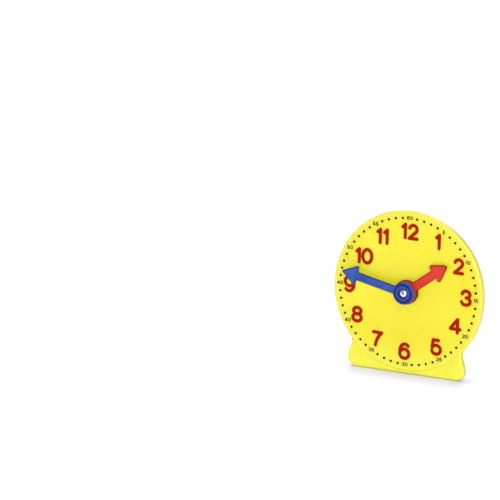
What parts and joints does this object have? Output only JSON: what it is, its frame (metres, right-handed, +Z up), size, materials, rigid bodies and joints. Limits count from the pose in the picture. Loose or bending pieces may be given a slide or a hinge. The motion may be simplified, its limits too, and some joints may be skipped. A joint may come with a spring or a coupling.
{
  "type": "geared teaching clock",
  "caption": "Small round teaching clock on a flared foot, with a stepped rear cover, arrow-tipped hour and minute hands and an enclosed gear train that turns them together.",
  "frame": {"origin": "middle of the clock's footprint on the surface it stands on: halfway across the dial, and halfway between the front of the hand screw and the back of the heel", "axes": "+X to the right of someone facing the dial, +Y from the dial towards the back, +Z up"},
  "size_m": [0.1026, 0.0338, 0.1042],
  "materials": {
    "case_yellow": "satin moulded plastic, bright yellow",
    "hand_red": "semi-gloss moulded plastic, red",
    "hand_blue": "semi-gloss moulded plastic, blue",
    "gear_white": "natural white acetal, smooth",
    "plated_steel": "bright zinc plated steel",
    "bright_steel": "drawn bright steel pin",
    "spring_steel": "thin spring steel, lightly oiled",
    "numeral_red": "screen-printed ink, dark red",
    "dial_black": "screen-printed ink, near black"
  },
  "bodies": {
    "case": {"front_case": "case_yellow", "rear_cover": "case_yellow", "gear_plate": "gear_white", "friction_washer": "spring_steel", "idler_pin": "bright_steel", "cover_screw_1": "plated_steel", "cover_screw_2": "plated_steel", "cover_screw_3": "plated_steel", "cover_screw_4": "plated_steel", "cover_screw_5": "plated_steel", "cover_screw_6": "plated_steel", "gear_plate_screw_1": "plated_steel", "gear_plate_screw_2": "plated_steel", "gear_plate_screw_3": "plated_steel"},
    "minute_set": {"minute_hand": "hand_blue", "minute_arbor": "gear_white", "hand_screw": "plated_steel"},
    "hour_set": {"hour_hand": "hand_red", "hour_wheel": "gear_white"},
    "idler": {"idler_gear": "gear_white"}
  },
  "joints": [
    {"name": "minute_turn", "type": "hinge", "parent": "case", "child": "minute_set", "pos_m": [0, -0.01015, 0.0529], "axis": [0, 1, 0], "continuous": true},
    {"name": "hour_turn", "type": "hinge", "parent": "case", "child": "hour_set", "pos_m": [0, -0.01015, 0.0529], "axis": [0, 1, 0], "continuous": true},
    {"name": "idler_turn", "type": "hinge", "parent": "case", "child": "idler", "pos_m": [0, -0.0027, 0.0369], "axis": [0, 1, 0], "continuous": true}
  ],
  "couplings": [
    {"joint": "idler_turn", "follows": "minute_turn", "ratio": -0.33333},
    {"joint": "hour_turn", "follows": "minute_turn", "ratio": 0.083333}
  ]
}
